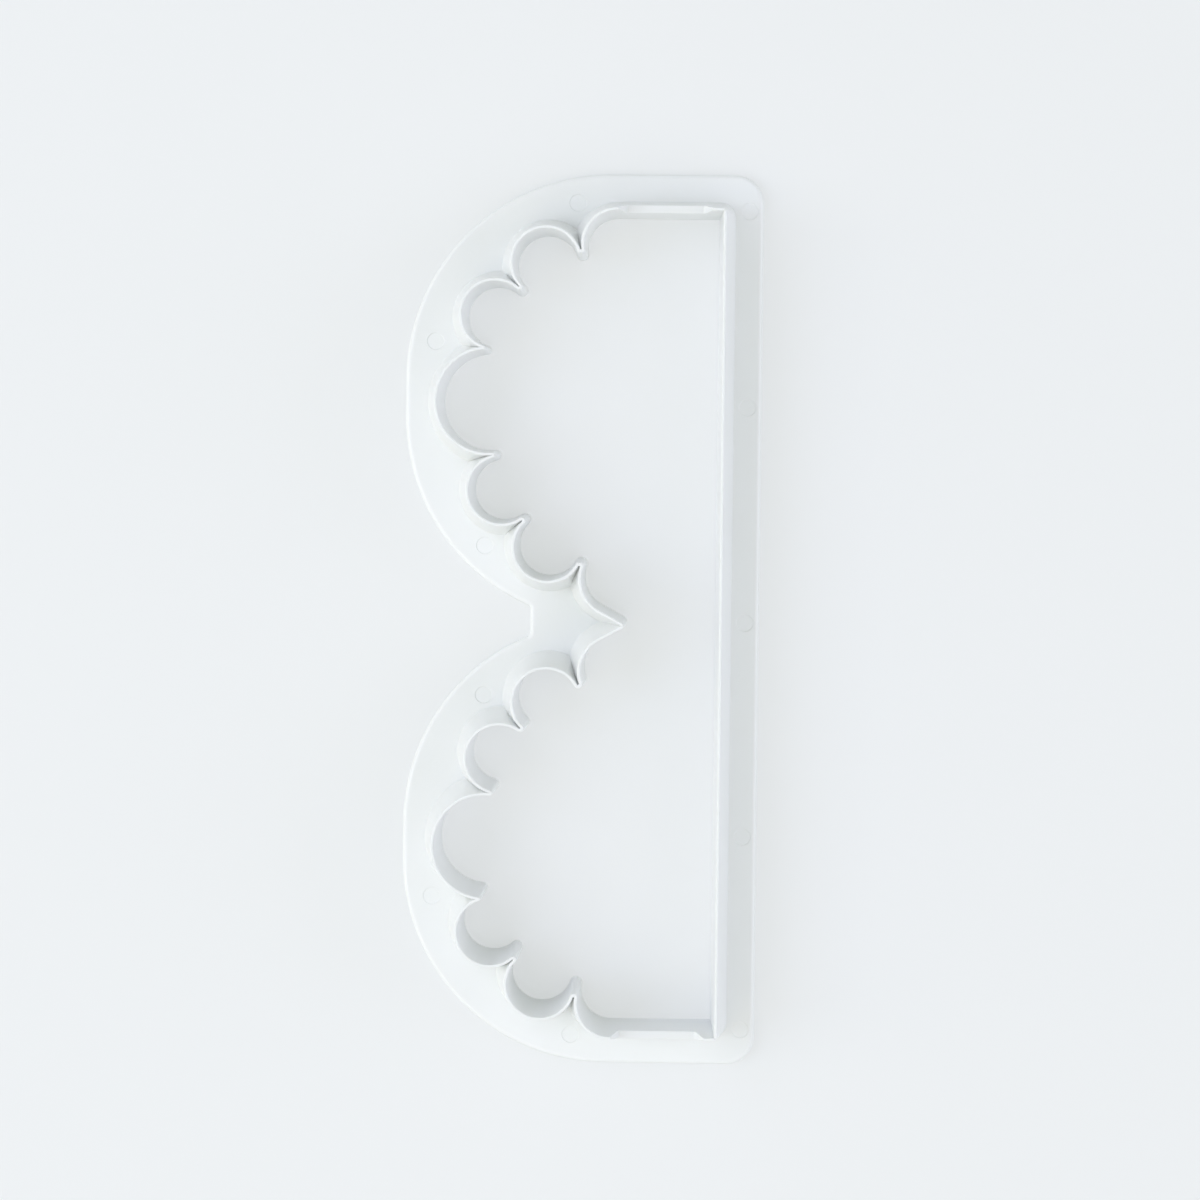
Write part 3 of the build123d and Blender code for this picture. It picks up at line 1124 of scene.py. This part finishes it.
@dataclass(frozen=True)
class PaleTable:
    """A plain pale table top, matte, with barely visible blotches."""

    tone: tuple[float, float, float] = (0.87, 0.89, 0.905)
    pale_tone: tuple[float, float, float] = (0.88, 0.90, 0.915)
    blotch: float = 18.0 * MM
    blotch_layers: float = 3.0
    roughness: float = 0.75
    backdrop: tuple[float, float, float] = (0.817, 0.838, 0.838)  # an even glow
    backdrop_share: float = 0.55

    def build(self) -> bpy.types.Material:
        """Makes the material."""
        graph = Graph("pale_table")
        blotches = graph.noise(self.blotch, self.blotch_layers)
        colour = graph.mix(blotches, (*self.tone, 1.0), (*self.pale_tone, 1.0))
        inputs = {"Base Color": colour, "Roughness": self.roughness}
        face = graph.node("ShaderNodeBsdfPrincipled", {}, inputs)
        light = {"Color": (*self.backdrop, 1.0), "Strength": 1.0}
        glow = graph.node("ShaderNodeEmission", {}, light)
        camera = graph.node("ShaderNodeLightPath", {}, {}, "Is Camera Ray")
        glossy = graph.node("ShaderNodeLightPath", {}, {}, "Is Glossy Ray")
        passing = graph.node("ShaderNodeLightPath", {}, {}, "Is Transmission Ray")
        share = (camera + glossy + passing) * self.backdrop_share
        return graph.finish(graph.node("ShaderNodeMixShader", {}, {0: share, 1: face, 2: glow}))


@dataclass(frozen=True)
class Lamp:
    """A large soft lamp that looks at the middle of the table.

    Attributes:
        name: Its name.
        azimuth: Where it hangs round the table, in degrees from +X.
        height: How high it hangs, in degrees over the table.
        colour: Its colour.
        power: Its power in watts.
        distance: How far it is from the middle.
        size: Its width.
    """

    name: str
    azimuth: float
    height: float
    colour: tuple[float, float, float]
    power: float
    distance: float = 1.3
    size: float = 0.7

    def build(self) -> None:
        """Hangs the lamp."""
        data = bpy.data.lights.new(f"{self.name}_lamp", "AREA")
        data.shape = "SQUARE"
        data.size = self.size
        data.color = self.colour
        data.energy = self.power
        lamp = bpy.data.objects.new(f"{self.name}_lamp", data)
        rise = math.radians(self.height)
        place = ray(self.azimuth, self.distance * math.cos(rise))
        place += UP * self.distance * math.sin(rise)
        lamp.location = place
        lamp.rotation_euler = place.to_track_quat("Z", "Y").to_euler()
        bpy.context.scene.collection.objects.link(lamp)


@dataclass(frozen=True)
class Studio:
    """The table, the light round it and the camera over it."""

    camera_offset: tuple[float, float, float] = (-9.18 * MM, 24.76 * MM, 459.88 * MM)
    tilt: float = 0.0470  # about X, in radians
    lean: float = -0.0188  # about Y
    roll: float = -0.0102  # about Z
    focal_pixels: float = 3068.0  # in pixels of the picture
    image_pixels: float = 1200.0
    sensor: float = 36.0  # in millimetres
    clip_start: float = 0.01
    table_size: float = 3.0
    table_cells: int = 8
    ambient: tuple[float, float, float] = (0.485, 0.515, 0.475)
    lamps: tuple[Lamp, ...] = (
        Lamp("low_right", 0.0, 20.0, (0.775, 0.775, 1.000), 4.00),
        Lamp("low_left", 180.0, 20.0, (1.000, 0.882, 0.621), 2.72),
        Lamp("right", 0.0, 45.0, (1.000, 0.870, 0.750), 1.00),
        Lamp("far_left", 135.0, 45.0, (0.806, 0.743, 1.000), 2.22),
        Lamp("left", 180.0, 45.0, (0.684, 0.776, 1.000), 4.90),
        Lamp("near_left", 225.0, 45.0, (1.000, 0.875, 0.725), 2.00),
        Lamp("near", 270.0, 45.0, (0.897, 0.897, 1.000), 1.45),
        Lamp("near_right", 315.0, 45.0, (0.829, 0.806, 1.000), 1.75),
    )

    def build(self, long_x: float) -> None:
        """Sets up everything.

        Args:
            long_x: The long side's cutting line, from which the camera's place is counted.
        """
        self.lay_table()
        self.set_ambient()
        for lamp in self.lamps:
            lamp.build()
        self.aim_camera(long_x)
        bpy.context.scene.view_settings.view_transform = "Standard"

    def lay_table(self) -> None:
        """Lays the table top on Z = 0."""
        bm = bmesh.new()
        cells = self.table_cells
        bmesh.ops.create_grid(bm, x_segments=cells, y_segments=cells, size=self.table_size / 2)
        data = bpy.data.meshes.new("table_top")
        bm.to_mesh(data)
        bm.free()
        data.materials.append(PaleTable().build())
        table = bpy.data.objects.new("table_top", data)
        bpy.context.scene.collection.objects.link(table)

    def set_ambient(self) -> None:
        """Sets the even light from all round."""
        world = bpy.data.worlds.new("soft_room")
        world.use_nodes = True
        background = world.node_tree.nodes["Background"]
        background.inputs["Color"].default_value = (*self.ambient, 1.0)
        background.inputs["Strength"].default_value = 1.0
        bpy.context.scene.world = world

    def aim_camera(self, long_x: float) -> None:
        """Hangs the camera over the cutter, nearly straight above it.

        Args:
            long_x: The long side's cutting line.
        """
        data = bpy.data.cameras.new("camera")
        data.sensor_width = self.sensor
        data.lens = self.focal_pixels / self.image_pixels * self.sensor
        data.clip_start = self.clip_start
        camera = bpy.data.objects.new("camera", data)
        bpy.context.scene.collection.objects.link(camera)
        look = (
            Matrix.Rotation(self.roll, 3, "Z")
            @ Matrix.Rotation(self.tilt, 3, "X")
            @ Matrix.Rotation(self.lean, 3, "Y")
        )
        place = Vector(self.camera_offset) + Vector((long_x, 0.0, 0.0))
        camera.matrix_world = Matrix.Translation(place) @ look.transposed().to_4x4()
        bpy.context.scene.camera = camera


def main() -> None:
    """Builds the cutter, piece by piece, and the studio round it."""
    logging.basicConfig(level=logging.INFO, format="%(name)s: %(message)s")
    line = CuttingLine()
    finish = WhitePlastic().build()
    for index in range(len(line.scallops)):
        ScallopWall(line, finish, index=index).build()
    PointWall(line, finish).build()
    EndWall(line, finish).build()
    LongWall(line, finish).build()
    Flange(line, finish).build()
    Studio().build(line.long_x)


if __name__ == "__main__":
    main()
